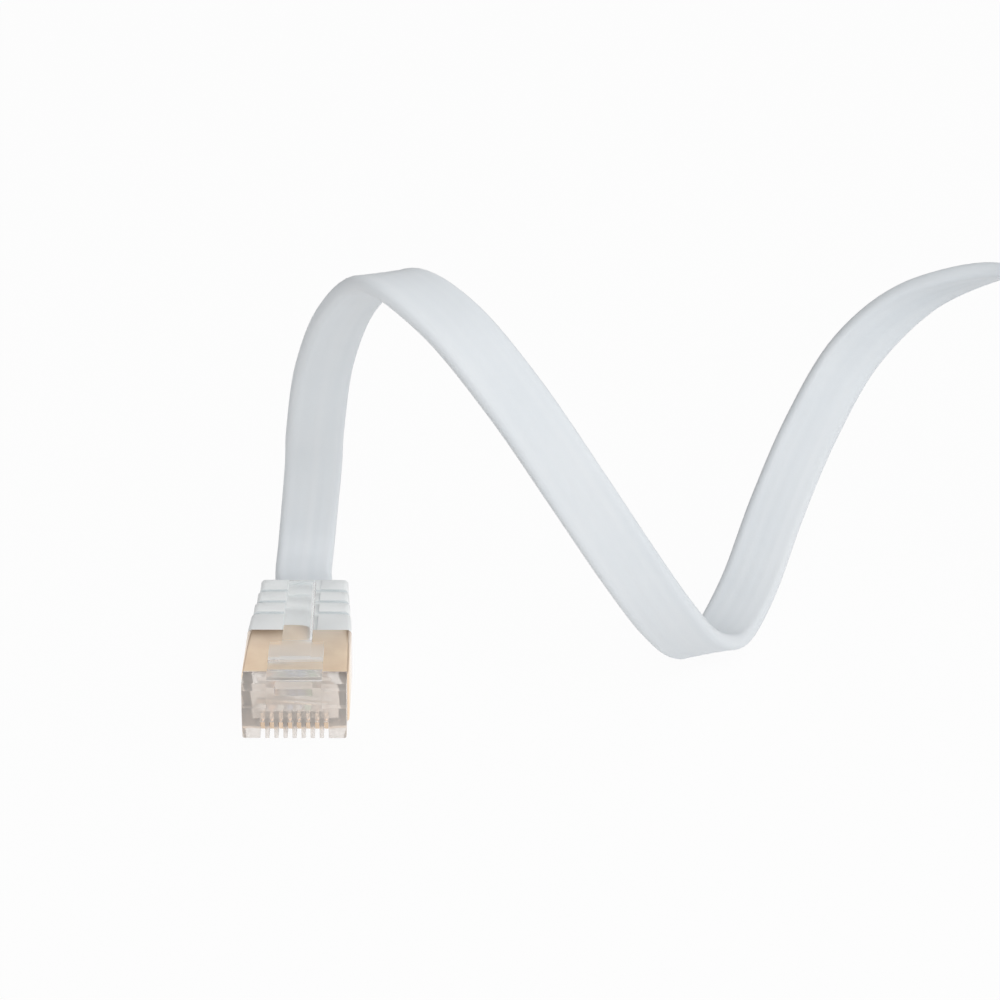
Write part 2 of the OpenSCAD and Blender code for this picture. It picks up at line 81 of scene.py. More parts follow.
# Place along X, distance behind the near boot, height, and two angles of the jacket's width:
# its turn about Z and its tip out of the level
ROUTE = [
    (0, -0.0117, 0.0035, 0, 0), (0, -0.0024, 0.0035, 0, 0), (0, 0.0011, 0.0035, 0, 0),
    (-0.00045, 0.0046, 0.0045, 0, 0), (-0.0002, 0.0071, 0.007, 0, 0),
    (0.0002, 0.0076, 0.011, 2, 0), (0.001, 0.0051, 0.019, 6, 0), (0.0015, 0.0016, 0.0255, 13, 0),
    (0.003, -0.0039, 0.036, 20, 0), (0.00605, -0.0109, 0.0457, 23, 0),
    (0.0105, -0.0169, 0.051, 20, 0), (0.017, -0.0214, 0.0485, 15, 0),
    (0.024, -0.0249, 0.041, 13, 0), (0.031, -0.0269, 0.031, 14, 0),
    (0.037, -0.0254, 0.021, 16, 0), (0.042, -0.0209, 0.012, 15, 0),
    (0.046, -0.0139, 0.005, 12, 4), (0.0495, -0.0074, 0.0023, 9, 8),
    (0.0535, -0.0004, 0.0055, 4, 6), (0.0575, 0.0071, 0.0126, 2, 0),
    (0.06205, 0.0136, 0.0205, 8, 0), (0.06765, 0.0186, 0.0285, 15, 0),
    (0.07515, 0.0206, 0.0349, 19, 0), (0.0845, 0.0196, 0.0389, 19, -2),
    (0.091, 0.0156, 0.0395, 16, 0), (0.094, 0.0116, 0.036, 11, 0), (0.095, 0.0086, 0.030, 6, 0),
    (0.095, 0.0071, 0.022, 0, 0), (0.095, 0.0061, 0.013, 0, 0), (0.095, 0.0021, 0.0055, 0, 0),
    (0.095, -0.0049, 0.0018, 0, 0), (0.095, -0.0114, 0.0026, 0, 25),
    (0.095, -0.0174, 0.0036, 0, 55), (0.095, -0.0229, 0.0042, 0, 80),
]

COIL_CENTRE = Vector((0.1345, -0.0094, 0.00425))
COIL_RADIUS = 0.0395
COIL_STEP = 0.0027  # how much the radius shrinks in each turn
COIL_FROM = 192  # angle at which the coil starts
COIL_RINGS = 66  # at this spacing they make 2.75 turns
RING_ANGLE = 15
TIE_RING = 15  # the strap comes after this ring
TAIL_RADIUS = 0.016
TAIL_TURN = 180
FAR_GAP = 0.002  # straight jacket before the far boot
SHELL_HALF_WIDTH = 0.00604

STEPS_BETWEEN = 8  # rings from one place of the route to the next
STEPS_PER_RING = 4
TAIL_STEPS = 24


def smooth_step(a, b, c, d, t):
    """Point between b and c of a smooth curve that passes a, b, c and d."""
    return (2 * b + (c - a) * t + (2 * a - 5 * b + 4 * c - d) * t * t
            + (3 * b - a - 3 * c + d) * t ** 3) / 2


def smooth(points, steps):
    """Smooth curve through points, in even steps between each pair."""
    padded = [2 * points[0] - points[1], *points, 2 * points[-1] - points[-2]]
    curve = [smooth_step(*padded[i:i + 4], k / steps)
             for i in range(len(points) - 1) for k in range(steps)]
    return curve + [points[-1]]


def coil_radius(angle):
    """Radius of the coil's centre line, which winds inwards."""
    return COIL_RADIUS - COIL_STEP * (angle - 180) / 360


def coil_place(angle):
    """Point of the coil's centre line at an angle about its centre."""
    a = math.radians(angle)
    return COIL_CENTRE + coil_radius(angle) * Vector((math.cos(a), math.sin(a), 0))


def width_line(turn, tip):
    """Direction of the jacket's width from its turn about Z and its tip out of the level."""
    turn, tip = math.radians(turn), math.radians(tip)
    return Vector((math.cos(turn) * math.cos(tip), math.sin(turn) * math.cos(tip), math.sin(tip)))


def tail_line():
    """Centre and heading of the half circle that leads from the coil to the far plug."""
    last = coil_place(COIL_FROM + COIL_RINGS * RING_ANGLE)
    before = coil_place(COIL_FROM + (COIL_RINGS - 1) * RING_ANGLE)
    heading = math.atan2(last.y - before.y, last.x - before.x)
    centre = last + TAIL_RADIUS * Vector((-math.sin(heading), math.cos(heading), 0))
    return centre, heading


def tail_point(degrees):
    """Point of the tail's half circle, which rises to the height of the far plug's middle."""
    centre, heading = tail_line()
    a = math.radians(degrees)
    rise = (SHELL_HALF_WIDTH - COIL_CENTRE.z) * (1 - math.cos(a)) / 2
    return centre + Vector((TAIL_RADIUS * math.sin(heading + a),
                            -TAIL_RADIUS * math.cos(heading + a), rise))


def far_way():
    """Direction in which the far plug's nose points."""
    heading = tail_line()[1] + math.radians(TAIL_TURN)
    return Vector((math.cos(heading), math.sin(heading), 0))


def jacket_line():
    """Ring centres and width directions from inside the near boot to inside the far one."""
    stations = [Vector((x, BOOT_END_Y + y, z)) for x, y, z, turn, tip in ROUTE]
    leans = [Vector((turn, tip)) for x, y, z, turn, tip in ROUTE]
    places = smooth(stations + [coil_place(COIL_FROM)], STEPS_BETWEEN)
    widths = [width_line(*lean) for lean in smooth(leans + [Vector((0, 90))], STEPS_BETWEEN)]
    upright = Vector((0, 0, 1))
    fine = RING_ANGLE / STEPS_PER_RING
    turns = [coil_place(COIL_FROM + i * fine) for i in range(1, STEPS_PER_RING * COIL_RINGS + 1)]
    curl = [tail_point(TAIL_TURN * i / TAIL_STEPS) for i in range(1, TAIL_STEPS + 1)]
    way = far_way()
    into = [curl[-1] + (FAR_GAP + s * JACKET_INSIDE) * way for s in (0, 0.25, 0.5, 0.75, 1)]
    rest = turns + curl + into
    return places + rest, widths + [upright] * len(rest)


JACKET_CORNER = 0.0008
CORNER_ANGLE = 18
FACE_STEPS = 14
WIRE_PAIRS = 4
WAVE_HALF_DEPTH = 0.00002


def jacket_outline():
    """Points (across, out) of the jacket's section: each half is a well-rounded edge, then a
    flat face that waves a little over the pairs of wires."""
    w = JACKET_WIDTH / 2 - JACKET_CORNER
    h = JACKET_THICK / 2 - JACKET_CORNER
    outline = []
    for side in (1, -1):
        for degrees in range(-90, 91, CORNER_ANGLE):
            a = math.radians(degrees)
            end = h if degrees > 0 else -h if degrees < 0 else 0
            outline.append((side * (w + JACKET_CORNER * math.cos(a)),
                            side * (end + JACKET_CORNER * math.sin(a))))
        for i in range(1, FACE_STEPS):
            x = w - 2 * w * i / FACE_STEPS
            turn = math.radians(360 * WIRE_PAIRS * i / FACE_STEPS)
            wave = WAVE_HALF_DEPTH * (math.cos(turn) - 1)
            outline.append((side * x, side * (JACKET_THICK / 2 + wave)))
    return outline


def make_tube(name, places, widths, outline):
    """Closed tube with a UV map that runs along its length and round its outline."""
    mesh = bpy.data.meshes.new(name)
    piece = bpy.data.objects.new(name, mesh)
    bpy.context.scene.collection.objects.link(piece)
    bm = bmesh.new()
    uv = bm.loops.layers.uv.new("length_and_girth")
    rings, lengths, so_far = [], [], 0.0
    for i, place in enumerate(places):
        before, after = places[max(i - 1, 0)], places[min(i + 1, len(places) - 1)]
        travel = (after - before).normalized()
        width = (widths[i] - widths[i].dot(travel) * travel).normalized()
        out = travel.cross(width)
        if i:
            so_far += (place - places[i - 1]).length
        lengths.append(so_far)
        rings.append([bm.verts.new(place + width * a + out * b) for a, b in outline])
    count = len(outline)
    girth = [0.0]
    for j in range(count):
        a, b = outline[j], outline[(j + 1) % count]
        girth.append(girth[-1] + math.dist(a, b))
    for i in range(len(rings) - 1):
        for j in range(count):
            k = (j + 1) % count
            face = bm.faces.new((rings[i][j], rings[i][k], rings[i + 1][k], rings[i + 1][j]))
            face.smooth = True
            corners = ((i, j), (i, j + 1), (i + 1, j + 1), (i + 1, j))
            for loop, (along, around) in zip(face.loops, corners):
                loop[uv].uv = (lengths[along], girth[around])
    bm.faces.new(rings[0][::-1])
    bm.faces.new(rings[-1])
    bmesh.ops.recalc_face_normals(bm, faces=bm.faces)
    bm.to_mesh(mesh)
    bm.free()
    return piece


def flat_jacket():
    """The whole free cord as one tube, and the points that it follows."""
    places, widths = jacket_line()
    piece = make_tube("flat_jacket", places, widths, jacket_outline())
    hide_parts("cable_run", "cable_coil", "cable_tail")
    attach(piece, "cable")
    return piece, places


# ---- Modelling by hand ----

def clear_selection():
    """Leave edit mode and select nothing."""
    if bpy.context.object and bpy.context.object.mode != "OBJECT":
        bpy.ops.object.mode_set(mode="OBJECT")
    bpy.ops.object.select_all(action="DESELECT")


def pick(piece, kind, test):
    """Select the faces, edges or verts of a piece in edit mode that pass a test."""
    modes = {"faces": "FACE", "edges": "EDGE", "verts": "VERT"}
    bpy.ops.mesh.select_mode(type=modes[kind])
    bpy.ops.mesh.select_all(action="DESELECT")
    bm = bmesh.from_edit_mesh(piece.data)
    for part in getattr(bm, kind):
        part.select_set(test(part))
    bmesh.update_edit_mesh(piece.data)


def new_cube(name, size):
    """Cube primitive of a given size about the origin, left in edit mode."""
    clear_selection()
    bpy.ops.mesh.primitive_cube_add(size=1)
    piece = bpy.context.object
    piece.name = piece.data.name = name
    bpy.ops.object.mode_set(mode="EDIT")
    bpy.ops.mesh.select_all(action="SELECT")
    bpy.ops.transform.resize(value=size)
    return piece


def settle(piece, place, turn):
    """Turn a piece about Z, put it in its place, and keep both in its mesh."""
    bpy.ops.object.mode_set(mode="OBJECT")
    piece.location = place
    piece.rotation_euler = (0, 0, turn)
    bpy.ops.object.transform_apply(location=True, rotation=True, scale=True)


def apply_modifier(piece, kind, **values):
    """Add a modifier with the given values to the current piece and apply it."""
    modifier = piece.modifiers.new(kind.lower(), kind)
    for key, value in values.items():
        setattr(modifier, key, value)
    bpy.ops.object.modifier_apply(modifier=modifier.name)


STRAP_THICK = 0.0005
STRAP_WIDE = 0.008
STRAP_ROOM = 0.0001  # between the strap and the turns
STRAP_SLACK = 0.0003  # more of it on the coil's inner side
STRAP_BEND = 0.0011
STRAP_SEGMENTS = 5
TURNS_AT_STRAP = 2  # full turns from the outermost turn to the innermost one
LAP_GAP = 0.00004
LAP_SHORT = 0.0012  # how far the lapped end stops below the upper bend
LAP_TIP = 0.0016
LAP_ROOT = (-0.0004, 0, -0.0007)  # where the lapped end dips into the lower bend
NEAR = 0.0001  # points this close to a level lie on it


def coil_strap():
    """Woven strap round the turns: an open band, thickened, its end lapped on the outside."""
    angle = COIL_FROM + (TIE_RING + 0.5) * RING_ANGLE
    innermost = angle + 360 * TURNS_AT_STRAP
    outer = coil_radius(angle) + JACKET_THICK / 2 + STRAP_ROOM + STRAP_THICK
    inner = coil_radius(innermost) - JACKET_THICK / 2 - STRAP_SLACK - STRAP_ROOM - STRAP_THICK
    tall = 2 * COIL_CENTRE.z
    piece = new_cube("coil_strap", (outer - inner, STRAP_WIDE, tall))
    pick(piece, "faces", lambda f: abs(f.normal.y) > 0.9)
    bpy.ops.mesh.delete(type="FACE")
    pick(piece, "edges", lambda e: abs((e.verts[0].co - e.verts[1].co).y) > STRAP_WIDE / 2)
    bpy.ops.mesh.bevel(offset=STRAP_BEND, segments=STRAP_SEGMENTS, affect="EDGES")
    lap_end(piece, (outer - inner) / 2, tall / 2 - STRAP_BEND)
    bpy.ops.object.mode_set(mode="OBJECT")
    apply_modifier(piece, "SOLIDIFY", thickness=STRAP_THICK, offset=-1, use_even_offset=True)
    return piece, angle, (outer + inner) / 2


def lap_end(piece, side, high):
    """Lay the strap's free end on the band's outer side: it rises from the lower bend, where
    it comes round, and stops short of the upper one with a rounded tip."""
    lift = STRAP_THICK + LAP_GAP
    pick(piece, "faces", lambda f: f.normal.x > 0.99)
    bpy.ops.mesh.duplicate(mode=1)
    bpy.ops.transform.translate(value=(lift, 0, 0))

    def lifted(v):
        return v.co.x > side + lift / 2

    def at_end(e, z):
        return all(lifted(v) and abs(v.co.z - z) < NEAR for v in e.verts)

    pick(piece, "edges", lambda e: at_end(e, high))
    bpy.ops.transform.translate(value=(0, 0, -LAP_SHORT))
    pick(piece, "verts", lambda v: lifted(v) and v.co.z > 0)
    bpy.ops.mesh.bevel(offset=LAP_TIP, segments=STRAP_SEGMENTS, affect="VERTICES")
    pick(piece, "edges", lambda e: at_end(e, -high))
    bpy.ops.mesh.extrude_region_move(TRANSFORM_OT_translate={"value": LAP_ROOT})


# ---- Materials ----

def fill(tree, node, sockets):
    """Give each named input of a node its value, or join it to an output."""
    for key, value in sockets.items():
        if isinstance(value, bpy.types.NodeSocket):
            tree.links.new(value, node.inputs[key])
        else:
            node.inputs[key].default_value = value


def spaced(sockets):
    """The same sockets, with spaces for the underscores in their names."""
    return {key.replace("_", " "): value for key, value in sockets.items()}


def put(tree, kind, sockets=(), **settings):
    """Add a shader node with its settings and its inputs."""
    made = tree.nodes.new("ShaderNode" + kind)
    for key, value in settings.items():
        setattr(made, key, value)
    fill(tree, made, dict(sockets))
    return made


def reckon(tree, operation, *values):
    """Output of a Math node on the given values or outputs."""
    return put(tree, "Math", enumerate(values), operation=operation).outputs[0]


def shades(tree, factor, *stops):
    """Colour that runs through stops of (position, colour) as factor goes from 0 to 1."""
    ramp = put(tree, "ValToRGB", {"Fac": factor})
    while len(ramp.color_ramp.elements) < len(stops):
        ramp.color_ramp.elements.new(0.5)
    for element, (position, colour) in zip(ramp.color_ramp.elements, stops):
        element.position = position
        element.color = (*colour, 1)
    return ramp.outputs["Color"]


def between(tree, factor, low, high):
    """Value that goes from low to high as factor goes from 0 to 1."""
    made = put(tree, "MapRange", {"Value": factor, "To Min": low, "To Max": high})
    return made.outputs["Result"]


def object_place(tree):
    """Place of the shaded point in its piece's own coordinates, in metres."""
    return put(tree, "TexCoord").outputs["Object"]


def effect(name, inputs, outputs):
    """Empty shader node group with its named sockets, and its two end nodes."""
    tree = bpy.data.node_groups.new(name, "ShaderNodeTree")
    for socket, kind, value in inputs:
        made = tree.interface.new_socket(socket, in_out="INPUT", socket_type="NodeSocket" + kind)
        if value is not None:
            made.default_value = value
    for socket in outputs:
        tree.interface.new_socket(socket, in_out="OUTPUT", socket_type="NodeSocketFloat")
    return tree, tree.nodes.new("NodeGroupInput"), tree.nodes.new("NodeGroupOutput")


def mould_grain_effect():
    """Fine spark-eroded grain and a broad, faint mottle, as on moulded plastic."""
    tree, given, result = effect("mould_grain", [
        ("Place", "Vector", None), ("Grain per metre", "Float", 6000.0),
        ("Mottle per metre", "Float", 150.0)], ["Height", "Mottle"])
    grain = put(tree, "TexNoise", {"Vector": given.outputs["Place"],
                                   "Scale": given.outputs["Grain per metre"],
                                   "Detail": 2.0, "Roughness": 0.6})
    mottle = put(tree, "TexNoise", {"Vector": given.outputs["Place"],
                                    "Scale": given.outputs["Mottle per metre"],
                                    "Detail": 4.0, "Roughness": 0.55})
    tree.links.new(grain.outputs[0], result.inputs["Height"])
    tree.links.new(mottle.outputs[0], result.inputs["Mottle"])
    return tree


def draw_line_effect():
    """Fine lines along one direction, as left by a die, a roller or a brush."""
    tree, given, result = effect("draw_lines", [
        ("Place", "Vector", None), ("Stretch", "Vector", (1.0, 1.0, 1.0)),
        ("Contrast", "Float", 1.0)], ["Height", "Streak"])
    stretched = put(tree, "VectorMath", {0: given.outputs["Place"], 1: given.outputs["Stretch"]},
                    operation="MULTIPLY").outputs[0]
    fine = put(tree, "TexNoise", {"Vector": stretched, "Scale": 1.0, "Detail": 3.0,
                                  "Roughness": 0.6}).outputs[0]
    broad = put(tree, "TexNoise", {"Vector": stretched, "Scale": 0.22, "Detail": 1.0}).outputs[0]
    tree.links.new(reckon(tree, "MULTIPLY", fine, given.outputs["Contrast"]),
                   result.inputs["Height"])
    tree.links.new(broad, result.inputs["Streak"])
    return tree


def edge_wear_effect():
    """Mask of the outer edges, broken up by noise."""
    tree, given, result = effect("edge_wear", [
        ("Place", "Vector", None), ("Reach", "Float", 0.0001)], ["Mask"])
    rounded = put(tree, "Bevel", {"Radius": given.outputs["Reach"]}, samples=4)
    flat = put(tree, "NewGeometry")
    same = put(tree, "VectorMath", {0: rounded.outputs[0], 1: flat.outputs["Normal"]},
               operation="DOT_PRODUCT").outputs["Value"]
    patches = put(tree, "TexNoise", {"Vector": given.outputs["Place"], "Scale": 900.0,
                                     "Detail": 3.0}).outputs[0]
    turned = reckon(tree, "SUBTRACT", 1.0, same)
    mask = reckon(tree, "MULTIPLY", reckon(tree, "MULTIPLY", turned, 4.0), patches)
    capped = reckon(tree, "MINIMUM", mask, 1.0)
    tree.links.new(capped, result.inputs["Mask"])
    return tree


def painted_hollow_shade_effect():
    """Mask of painted shade in the grooves and inner corners, where a surface faces its own walls.
    """
    tree, given, result = effect("painted_hollow_shade", [
        ("Depth", "Float", 0.001), ("Contrast", "Float", 2.0)], ["Mask"])
    open_share = put(tree, "AmbientOcclusion", {"Distance": given.outputs["Depth"]},
                     samples=8, only_local=True).outputs["AO"]
    closed = reckon(tree, "SUBTRACT", 1.0, open_share)
    mask = reckon(tree, "MULTIPLY", closed, given.outputs["Contrast"])
    tree.links.new(reckon(tree, "MINIMUM", mask, 1.0), result.inputs["Mask"])
    return tree


MOULD_GRAIN = mould_grain_effect()
DRAW_LINES = draw_line_effect()
EDGE_WEAR = edge_wear_effect()
PAINTED_HOLLOW_SHADE = painted_hollow_shade_effect()


def use(tree, group, **sockets):
    """Place an effect group in a material."""
    made = tree.nodes.new("ShaderNodeGroup")
    made.node_tree = group
    fill(tree, made, spaced(sockets))
    return made.outputs


def new_material(name):
    """Material with its node tree and its Principled shader."""
    material = bpy.data.materials.new(name)
    material.use_nodes = True
    return material, material.node_tree, material.node_tree.nodes["Principled BSDF"]


def dress(tree, surface, height, depth, **sockets):
    """Give a surface a bump of the given depth, its colour and its other inputs."""
    bump = put(tree, "Bump", {"Height": height, "Distance": depth, "Strength": 1.0})
    tree.links.new(bump.outputs[0], surface.inputs["Normal"])
    fill(tree, surface, spaced(sockets))


def jacket_white():
    """Cool white extruded jacket: fine die lines along its length on a satin skin."""
    material, tree, surface = new_material("jacket_white")
    length = put(tree, "UVMap", uv_map="length_and_girth").outputs[0]
    lines = use(tree, DRAW_LINES, Place=length, Stretch=(40.0, 2600.0, 1.0))
    grain = use(tree, MOULD_GRAIN, Place=object_place(tree), Grain_per_metre=9000.0,
                Mottle_per_metre=55.0)
    tone = reckon(tree, "ADD", reckon(tree, "MULTIPLY", lines["Streak"], 0.4),
                  reckon(tree, "MULTIPLY", grain["Mottle"], 0.6))
    colour = shades(tree, tone, (0.3, (0.765, 0.806, 0.842)), (0.5, (0.805, 0.841, 0.872)),
                    (0.7, (0.84, 0.866, 0.892)))
    height = reckon(tree, "ADD", lines["Height"], reckon(tree, "MULTIPLY", grain["Height"], 0.5))
    dress(tree, surface, height, 0.000002, Base_Color=colour,
          Roughness=between(tree, grain["Mottle"], 0.36, 0.52), IOR=1.5,
          Subsurface_Weight=0.2, Subsurface_Radius=(1.0, 1.0, 1.0), Subsurface_Scale=0.0012)
    return material


def boot_white():
    """Soft matt moulding with a fine grain, a little warmer where it is handled, with painted shade
    in its grooves.
    """
    material, tree, surface = new_material("boot_white")
    place = object_place(tree)
    grain = use(tree, MOULD_GRAIN, Place=place, Grain_per_metre=7000.0, Mottle_per_metre=260.0)
    wear = use(tree, EDGE_WEAR, Place=place, Reach=0.00015)["Mask"]
    skin = shades(tree, grain["Mottle"], (0.3, (0.955, 0.985, 0.985)), (0.7, (0.975, 0.995, 0.995)))
    worn = put(tree, "Mix", {"Factor": wear, "A": skin, "B": (0.98, 0.985, 0.98, 1)},
               data_type="RGBA")
    # Painted shade: an ambient occlusion mask darkens the grooves and inner corners towards a cool
    # grey
    painted_groove_shade = use(tree, PAINTED_HOLLOW_SHADE, Depth=0.0014, Contrast=1.6)["Mask"]
    colour = put(tree, "Mix", {"Factor": painted_groove_shade, "A": worn.outputs["Result"],
                               "B": (0.68, 0.73, 0.745, 1)}, data_type="RGBA")
    dress(tree, surface, grain["Height"], 0.000008, Base_Color=colour.outputs["Result"],
          Roughness=between(tree, grain["Mottle"], 0.48, 0.62), IOR=1.49, Sheen_Weight=0.5,
          Subsurface_Weight=0.15, Subsurface_Radius=(1.0, 1.0, 1.0), Subsurface_Scale=0.001)
    return material


def plated_shell():
    """Pale rose-gold plating on rolled sheet, brighter where the edges have rubbed."""
    material, tree, surface = new_material("plated_shell")
    place = object_place(tree)
    lines = use(tree, DRAW_LINES, Place=place, Stretch=(7000.0, 260.0, 7000.0))
    grain = use(tree, MOULD_GRAIN, Place=place, Grain_per_metre=12000.0, Mottle_per_metre=320.0)
    wear = use(tree, EDGE_WEAR, Place=place, Reach=0.00022)["Mask"]
    plate = shades(tree, grain["Mottle"], (0.3, (0.88, 0.67, 0.485)), (0.7, (0.97, 0.77, 0.565)))
    colour = put(tree, "Mix", {"Factor": wear, "A": plate, "B": (0.98, 0.88, 0.78, 1)},
                 data_type="RGBA")
    rough = reckon(tree, "ADD", between(tree, lines["Streak"], 0.27, 0.38),
                   reckon(tree, "MULTIPLY", wear, -0.06))
    dress(tree, surface, lines["Height"], 0.0000015, Base_Color=colour.outputs["Result"],
          Roughness=rough, Metallic=1.0, Coat_Weight=0.8, Coat_Roughness=0.08)
    return material


def let_light_in(tree, surface, tint):
    """Let the room's light through a clear piece, so that what is inside it is lit, and let
    light that its walls have mirrored once leave it."""
    through = put(tree, "BsdfTransparent", {"Color": tint})
    seen = put(tree, "LightPath").outputs
    passed = reckon(tree, "MAXIMUM", seen["Is Shadow Ray"],
                    reckon(tree, "MAXIMUM", seen["Is Reflection Ray"], seen["Is Diffuse Ray"]))
    mixed = put(tree, "MixShader", {0: passed, 1: surface.outputs[0], 2: through.outputs[0]})
    tree.links.new(mixed.outputs[0], tree.nodes["Material Output"].inputs["Surface"])


def clear_plastic(name, clearness, tints, frosted=None):
    """Polycarbonate with faint flow marks, a little milky. For a latch, frosted gives its
    plug's nose, the way back from it and the two distances between which it is ground."""
    material, tree, surface = new_material(name)
    place = object_place(tree)
    grain = use(tree, MOULD_GRAIN, Place=place, Grain_per_metre=5000.0, Mottle_per_metre=420.0)
    rough = between(tree, grain["Mottle"], 0.04, 0.12)
    colour = shades(tree, grain["Mottle"], (0.3, tints[0]), (0.7, tints[1]))
    height = grain["Mottle"]
    if frosted:
        nose, back, start, end = frosted
        offset = put(tree, "VectorMath", {0: place, 1: nose}, operation="SUBTRACT").outputs[0]
        along = put(tree, "VectorMath", {0: offset, 1: back},
                    operation="DOT_PRODUCT").outputs["Value"]
        after = reckon(tree, "GREATER_THAN", along, start)
        ground = reckon(tree, "MULTIPLY", after, reckon(tree, "LESS_THAN", along, end))
        rough = reckon(tree, "ADD", rough, reckon(tree, "MULTIPLY", ground, 0.45))
        colour = put(tree, "Mix", {"Factor": ground, "A": colour, "B": (1.0, 1.0, 0.99, 1)},
                     data_type="RGBA").outputs["Result"]
        scratches = reckon(tree, "MULTIPLY", grain["Height"], ground)
        height = reckon(tree, "ADD", height, reckon(tree, "MULTIPLY", scratches, 0.6))
    dress(tree, surface, height, 0.000004, Base_Color=colour, Roughness=rough, IOR=1.4,
          Transmission_Weight=clearness)
    let_light_in(tree, surface, (0.985, 0.978, 0.972, 1))
    return material


def natural_plastic():
    """Milky, uncoloured moulding of the load bar."""
    material, tree, surface = new_material("natural_plastic")
    grain = use(tree, MOULD_GRAIN, Place=object_place(tree), Mottle_per_metre=400.0)
    colour = shades(tree, grain["Mottle"], (0.3, (0.93, 0.9, 0.87)), (0.7, (0.96, 0.94, 0.92)))
    dress(tree, surface, grain["Height"], 0.000006, Base_Color=colour,
          Roughness=between(tree, grain["Mottle"], 0.35, 0.5), IOR=1.5)
    return material


def gold_contact():
    """Gold flash on stamped blades."""
    material, tree, surface = new_material("gold_contact")
    place = object_place(tree)
    lines = use(tree, DRAW_LINES, Place=place, Stretch=(9000.0, 9000.0, 900.0))
    colour = shades(tree, lines["Streak"], (0.3, (0.68, 0.53, 0.4)), (0.7, (0.8, 0.64, 0.5)))
    dress(tree, surface, lines["Height"], 0.0000015, Base_Color=colour,
          Roughness=between(tree, lines["Streak"], 0.16, 0.3), Metallic=1.0)
    return material


def wire_skin(name, tint, mark=None):
    """Glossy insulation in one tint, with narrow marks at intervals on the striped ones."""
    material, tree, surface = new_material(name)
    place = object_place(tree)
    grain = use(tree, MOULD_GRAIN, Place=place, Grain_per_metre=8000.0, Mottle_per_metre=900.0)
    pale = tuple(0.9 * c + 0.06 for c in tint)
    colour = shades(tree, grain["Mottle"], (0.3, tint), (0.7, pale))
    if mark:
        bands = put(tree, "TexWave", {"Vector": place, "Scale": 55.0, "Distortion": 0.6,
                                      "Detail Scale": 200.0}, bands_direction="DIAGONAL")
        marked = reckon(tree, "GREATER_THAN", bands.outputs["Fac"], 0.72)
        colour = put(tree, "Mix", {"Factor": marked, "A": colour, "B": (*mark, 1)},
                     data_type="RGBA").outputs["Result"]
    dress(tree, surface, grain["Height"], 0.000004, Base_Color=colour,
          Roughness=between(tree, grain["Mottle"], 0.25, 0.4), IOR=1.5)
    return material


THREAD_PITCH = 0.0008


def strap_weave(turn):
    """Grey woven tape: threads over and under along and across a strap turned about Z."""
    material, tree, surface = new_material("strap_grey")
    place = object_place(tree)
    local = put(tree, "Mapping", {"Vector": place, "Rotation": (0, 0, -turn)}).outputs[0]
    axes = put(tree, "SeparateXYZ", {0: local}).outputs
    threads = 2 * math.pi / THREAD_PITCH
    across = reckon(tree, "SINE", reckon(tree, "MULTIPLY", axes["Y"], threads))
    round_it = reckon(tree, "ADD", axes["X"], axes["Z"])
    along = reckon(tree, "SINE", reckon(tree, "MULTIPLY", round_it, threads))
    weave = reckon(tree, "MULTIPLY", across, along)
    level = reckon(tree, "MULTIPLY_ADD", weave, 0.5, 0.5)
    grain = use(tree, MOULD_GRAIN, Place=place, Grain_per_metre=9000.0, Mottle_per_metre=300.0)
    tone = reckon(tree, "ADD", reckon(tree, "MULTIPLY", level, 0.6),
                  reckon(tree, "MULTIPLY", grain["Height"], 0.4))
    colour = shades(tree, tone, (0.2, (0.42, 0.43, 0.44)), (0.8, (0.62, 0.63, 0.64)))
    dress(tree, surface, tone, 0.00008, Base_Color=colour,
          Roughness=between(tree, tone, 0.75, 0.95), Sheen_Weight=0.3)
    return material


# ---- Finishing the plugs ----

# Skin and mark of each wire, in their order across the plug
WIRE_TINTS = {
    "wire_white_orange": ((0.86, 0.83, 0.8), (0.85, 0.5, 0.3)),
    "wire_orange": ((0.85, 0.5, 0.3), None),
    "wire_white_green": ((0.83, 0.86, 0.83), (0.36, 0.62, 0.42)),
    "wire_blue": ((0.36, 0.48, 0.74), None),
    "wire_white_blue": ((0.82, 0.84, 0.87), (0.36, 0.48, 0.74)),
    "wire_green": ((0.36, 0.62, 0.42), None),
    "wire_white_brown": ((0.85, 0.82, 0.79), (0.52, 0.36, 0.27)),
    "wire_brown": ((0.52, 0.36, 0.27), None),
}

# Width of the softened edge on each kind of node
SOFT_EDGES = {
    "plug_housing": 0.00006,
    "latch": 0.00006,
    "shield": 0.00012,
    "load_bar": 0.00005,
    "boot": 0.0002,
    "contact": 0.00004,
    "wire": 0.00004,
}
SHARP_ANGLE = 30  # edges that turn more than this are softened
WIRE_SHARP_ANGLE = 50
WELD_REACH = 0.000002
PLATING = 0.00008

HOUSING_CLEARNESS = 0.53
LATCH_CLEARNESS = 0.96
HOUSING_TINTS = (0.81, 0.75, 0.7), (0.88, 0.82, 0.77)
LATCH_TINTS = (0.94, 0.965, 0.97), (0.98, 0.99, 0.995)
FROST_START = 0.0048  # distance behind the nose
FROST_END = 0.0084


def finish_node(name, material, edge, angle=SHARP_ANGLE, plating=0.0):
    """Give a CAD node its material, join its facets, swell it by its plating and soften its
    sharp edges."""
    piece = nodes[name]
    piece.data.materials.clear()
    piece.data.materials.append(material)
    piece.data.polygons.foreach_set("use_smooth", [True] * len(piece.data.polygons))
    weld = piece.modifiers.new("weld", "WELD")
    weld.merge_threshold = WELD_REACH
    if plating:
        skin = piece.modifiers.new("plating", "DISPLACE")
        skin.mid_level = 0
        skin.strength = plating
    bevel = piece.modifiers.new("bevel", "BEVEL")
    bevel.width = edge
    bevel.segments = 2
    bevel.limit_method = "ANGLE"
    bevel.angle_limit = math.radians(angle)
    bevel.harden_normals = True


